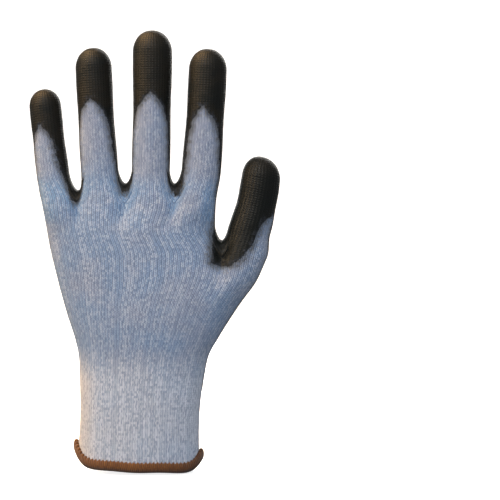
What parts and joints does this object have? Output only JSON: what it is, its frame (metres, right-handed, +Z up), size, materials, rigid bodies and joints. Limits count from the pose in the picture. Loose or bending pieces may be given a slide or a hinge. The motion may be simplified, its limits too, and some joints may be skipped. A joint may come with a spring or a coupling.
{
  "type": "cut resistant glove",
  "caption": "Left-hand knitted work glove with a dipped polyurethane film over its palm and fingertips, a ribbed cuff and an overlocked hem.",
  "frame": {"origin": "middle of the wrist opening, on the plane of the hem's lower edge", "axes": "+Z up the hand to the fingertips, +X to the thumb's side, +Y out of the palm"},
  "size_m": [0.1407, 0.0406, 0.2505],
  "materials": {
    "knit": "heathered rib knit, matte",
    "coating": "soft satin polyurethane film",
    "hem": "overlocked textured thread",
    "elastic": "covered thread, matte"
  },
  "bodies": {
    "cuff": {"knit_cuff": "knit", "coating_cuff": "coating", "overlock_hem": "hem", "elastic_threads": "elastic"},
    "wrist": {"knit_wrist": "knit", "coating_wrist": "coating"},
    "palm": {"knit_palm": "knit", "coating_palm": "coating"},
    "index_base": {"knit_index_base": "knit", "coating_index_base": "coating"},
    "index_mid": {"knit_index_mid": "knit", "coating_index_mid": "coating"},
    "index_end": {"knit_index_end": "knit", "coating_index_end": "coating"},
    "middle_base": {"knit_middle_base": "knit", "coating_middle_base": "coating"},
    "middle_mid": {"knit_middle_mid": "knit", "coating_middle_mid": "coating"},
    "middle_end": {"knit_middle_end": "knit", "coating_middle_end": "coating"},
    "ring_base": {"knit_ring_base": "knit", "coating_ring_base": "coating"},
    "ring_mid": {"knit_ring_mid": "knit", "coating_ring_mid": "coating"},
    "ring_end": {"knit_ring_end": "knit", "coating_ring_end": "coating"},
    "little_base": {"knit_little_base": "knit", "coating_little_base": "coating"},
    "little_mid": {"knit_little_mid": "knit", "coating_little_mid": "coating"},
    "little_end": {"knit_little_end": "knit", "coating_little_end": "coating"},
    "thumb_root": {"knit_thumb_root": "knit", "coating_thumb_root": "coating"},
    "thumb_base": {"knit_thumb_base": "knit", "coating_thumb_base": "coating"},
    "thumb_end": {"knit_thumb_end": "knit", "coating_thumb_end": "coating"}
  },
  "joints": [
    {"name": "wrist_tilt", "type": "hinge", "parent": "cuff", "child": "wrist", "pos_m": [0.002, 0, 0.05], "axis": [0, 1, 0], "range_deg": [-15, 15], "stiffness_Nm_per_rad": 0.15},
    {"name": "wrist_bend", "type": "hinge", "parent": "wrist", "child": "palm", "pos_m": [0, 0, 0.066], "axis": [-1, 0, 0], "range_deg": [-40, 50], "stiffness_Nm_per_rad": 0.15},
    {"name": "index_knuckle", "type": "hinge", "parent": "palm", "child": "index_base", "pos_m": [0.03535, 0, 0.16649], "axis": [-0.9979, 0, 0.0645], "range_deg": [-15, 55], "stiffness_Nm_per_rad": 0.02},
    {"name": "index_middle_bend", "type": "hinge", "parent": "index_base", "child": "index_mid", "pos_m": [0.03668, 0, 0.18692], "axis": [-0.9979, 0, 0.0645], "range_deg": [0, 80], "stiffness_Nm_per_rad": 0.015},
    {"name": "index_tip_bend", "type": "hinge", "parent": "index_mid", "child": "index_end", "pos_m": [0.03835, 0, 0.21283], "axis": [-0.9979, 0, 0.0645], "range_deg": [0, 50], "stiffness_Nm_per_rad": 0.01},
    {"name": "middle_knuckle", "type": "hinge", "parent": "palm", "child": "middle_base", "pos_m": [0.00708, 0, 0.1665], "axis": [-0.9999, 0, 0.014], "range_deg": [-15, 55], "stiffness_Nm_per_rad": 0.02},
    {"name": "middle_middle_bend", "type": "hinge", "parent": "middle_base", "child": "middle_mid", "pos_m": [0.00741, 0, 0.19037], "axis": [-0.9999, 0, 0.014], "range_deg": [0, 80], "stiffness_Nm_per_rad": 0.015},
    {"name": "middle_tip_bend", "type": "hinge", "parent": "middle_mid", "child": "middle_end", "pos_m": [0.00782, 0, 0.21973], "axis": [-0.9999, 0, 0.014], "range_deg": [0, 50], "stiffness_Nm_per_rad": 0.01},
    {"name": "ring_knuckle", "type": "hinge", "parent": "palm", "child": "ring_base", "pos_m": [-0.02132, 0, 0.16649], "axis": [-0.9983, 0, -0.0576], "range_deg": [-15, 55], "stiffness_Nm_per_rad": 0.02},
    {"name": "ring_middle_bend", "type": "hinge", "parent": "ring_base", "child": "ring_mid", "pos_m": [-0.0225, 0, 0.18709], "axis": [-0.9983, 0, -0.0576], "range_deg": [0, 80], "stiffness_Nm_per_rad": 0.015},
    {"name": "ring_tip_bend", "type": "hinge", "parent": "ring_mid", "child": "ring_end", "pos_m": [-0.02401, 0, 0.21319], "axis": [-0.9983, 0, -0.0576], "range_deg": [0, 50], "stiffness_Nm_per_rad": 0.01},
    {"name": "little_knuckle", "type": "hinge", "parent": "palm", "child": "little_base", "pos_m": [-0.04762, 0, 0.16547], "axis": [-0.9936, 0, -0.1132], "range_deg": [-15, 50], "stiffness_Nm_per_rad": 0.02},
    {"name": "little_middle_bend", "type": "hinge", "parent": "little_base", "child": "little_mid", "pos_m": [-0.04913, 0, 0.17869], "axis": [-0.9936, 0, -0.1132], "range_deg": [0, 80], "stiffness_Nm_per_rad": 0.015},
    {"name": "little_tip_bend", "type": "hinge", "parent": "little_mid", "child": "little_end", "pos_m": [-0.05126, 0, 0.19738], "axis": [-0.9936, 0, -0.1132], "range_deg": [0, 45], "stiffness_Nm_per_rad": 0.01},
    {"name": "thumb_swing", "type": "hinge", "parent": "palm", "child": "thumb_root", "pos_m": [0.06063, 0, 0.13093], "axis": [0, 1, 0], "range_deg": [-12, 20], "stiffness_Nm_per_rad": 0.02},
    {"name": "thumb_bend", "type": "hinge", "parent": "thumb_root", "child": "thumb_base", "pos_m": [0.06252, 0, 0.13973], "axis": [-0.6285, -0.766, 0.1347], "range_deg": [-10, 35], "stiffness_Nm_per_rad": 0.015},
    {"name": "thumb_tip_bend", "type": "hinge", "parent": "thumb_base", "child": "thumb_end", "pos_m": [0.06608, 0, 0.15636], "axis": [-0.6285, -0.766, 0.1347], "range_deg": [0, 60], "stiffness_Nm_per_rad": 0.01}
  ]
}
